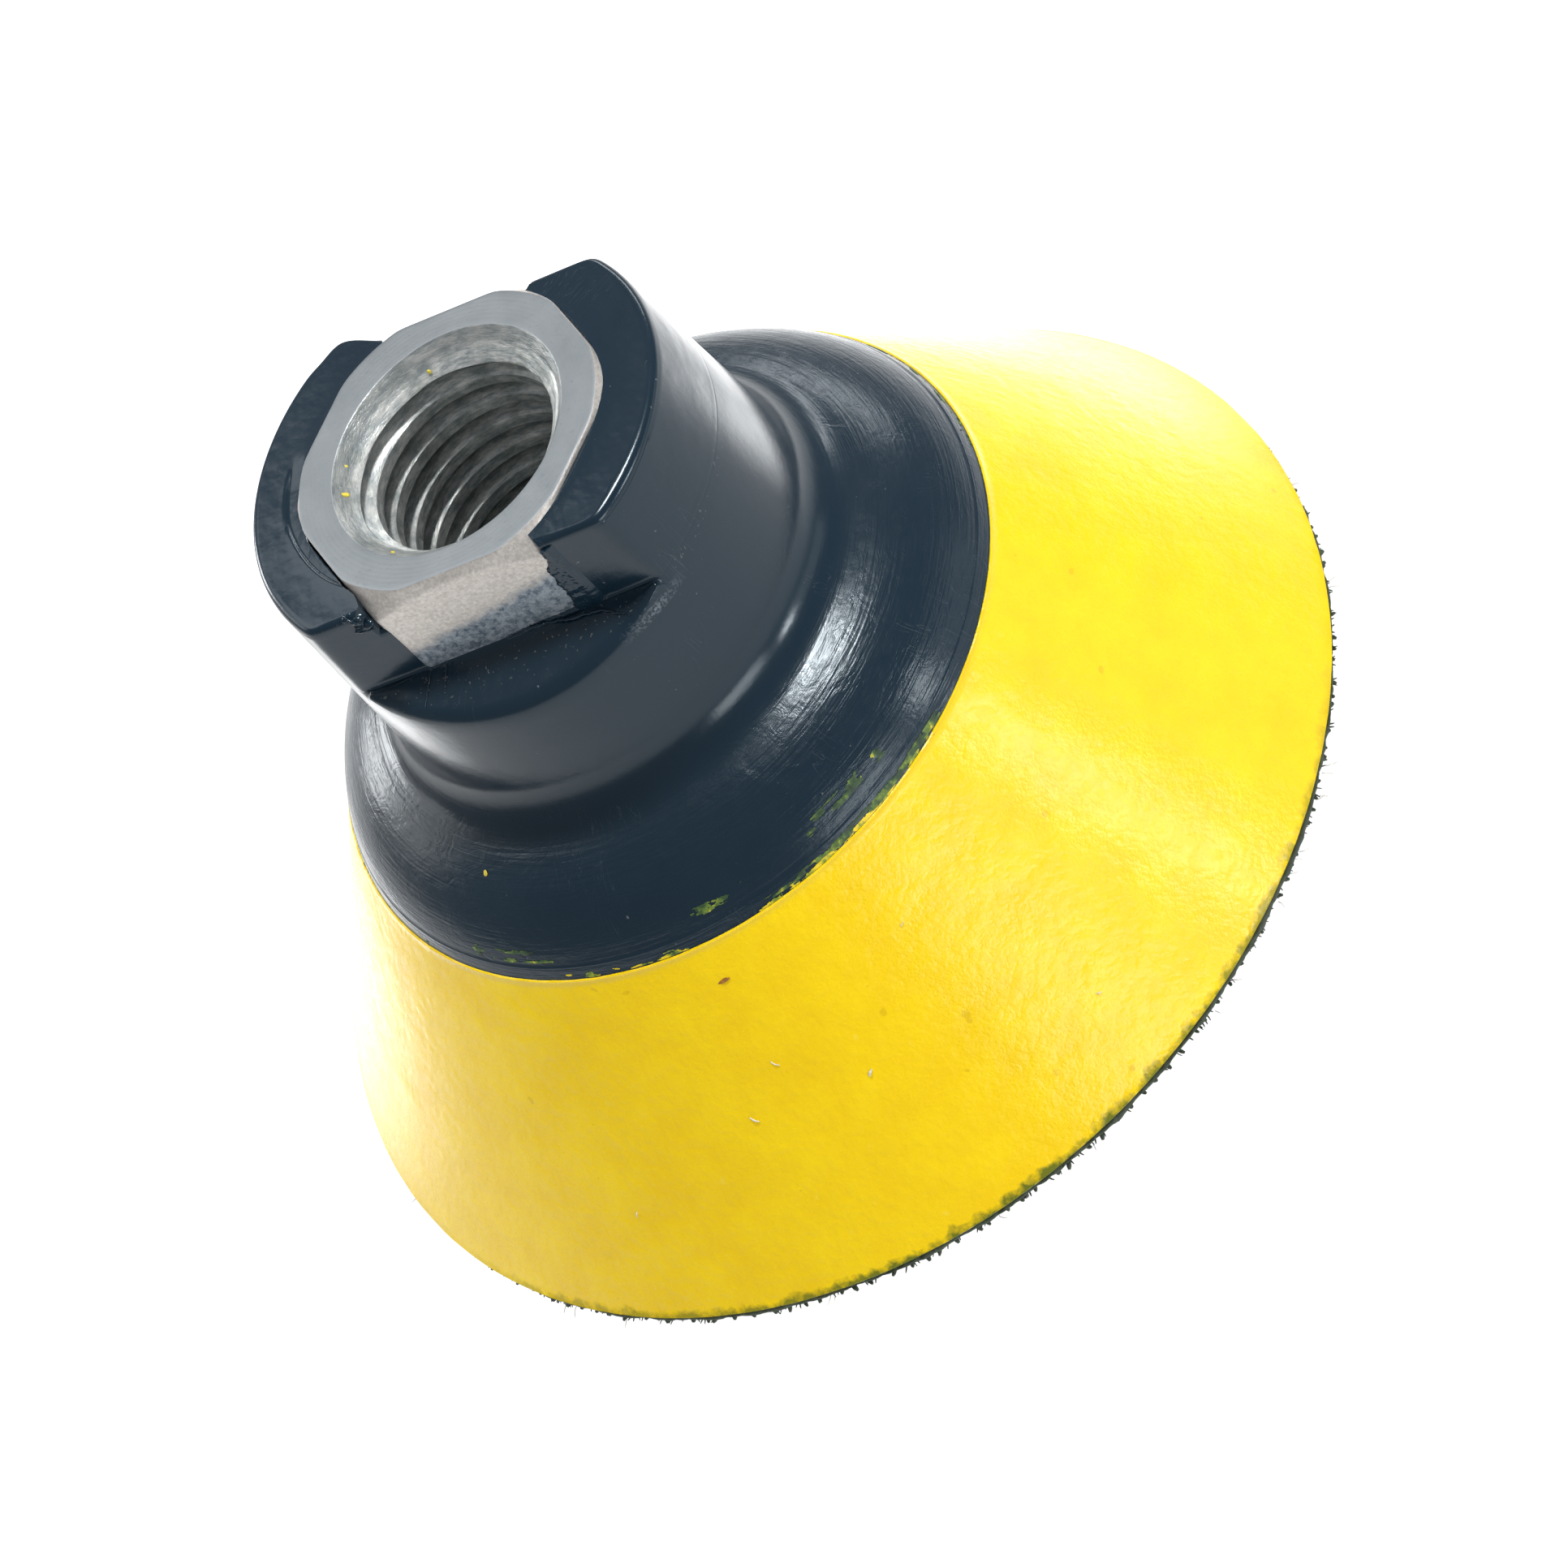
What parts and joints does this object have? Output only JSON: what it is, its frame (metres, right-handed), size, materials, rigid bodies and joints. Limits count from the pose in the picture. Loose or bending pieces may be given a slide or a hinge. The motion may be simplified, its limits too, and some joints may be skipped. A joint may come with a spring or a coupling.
{
  "type": "hook-faced backing pad",
  "caption": "Conical foam backing pad with a moulded hub, a threaded steel insert with spanner flats, and a round hook face that carries a polishing disc.",
  "frame": {"origin": "centre of the hook face, at the level of the hook tips", "axes": "+Z along the spin axis, out of the thread's mouth; the two spanner flats face -Y and +Y"},
  "size_m": [0.0664, 0.0664, 0.0428],
  "materials": {
    "insert_steel": "zinc plated, satin",
    "hub_black": "moulded, satin",
    "foam_yellow": "cast foam with a satin skin",
    "adhesive": "cured adhesive",
    "tape_ground": "woven nylon",
    "tape_hooks": "nylon monofilament hooks"
  },
  "bodies": {
    "hub": {"threaded_insert": "insert_steel", "hub_moulding": "hub_black", "foam_cushion": "foam_yellow"},
    "face": {"adhesive_film": "adhesive", "hook_backing": "tape_ground", "hook_pile": "tape_hooks"}
  },
  "joints": [
    {"name": "cushion_travel", "type": "slide", "parent": "hub", "child": "face", "axis": [0, 0, 1], "range_m": [0, 0.0012], "stiffness_N_per_m": 60000, "deforming": ["foam_cushion"]}
  ]
}
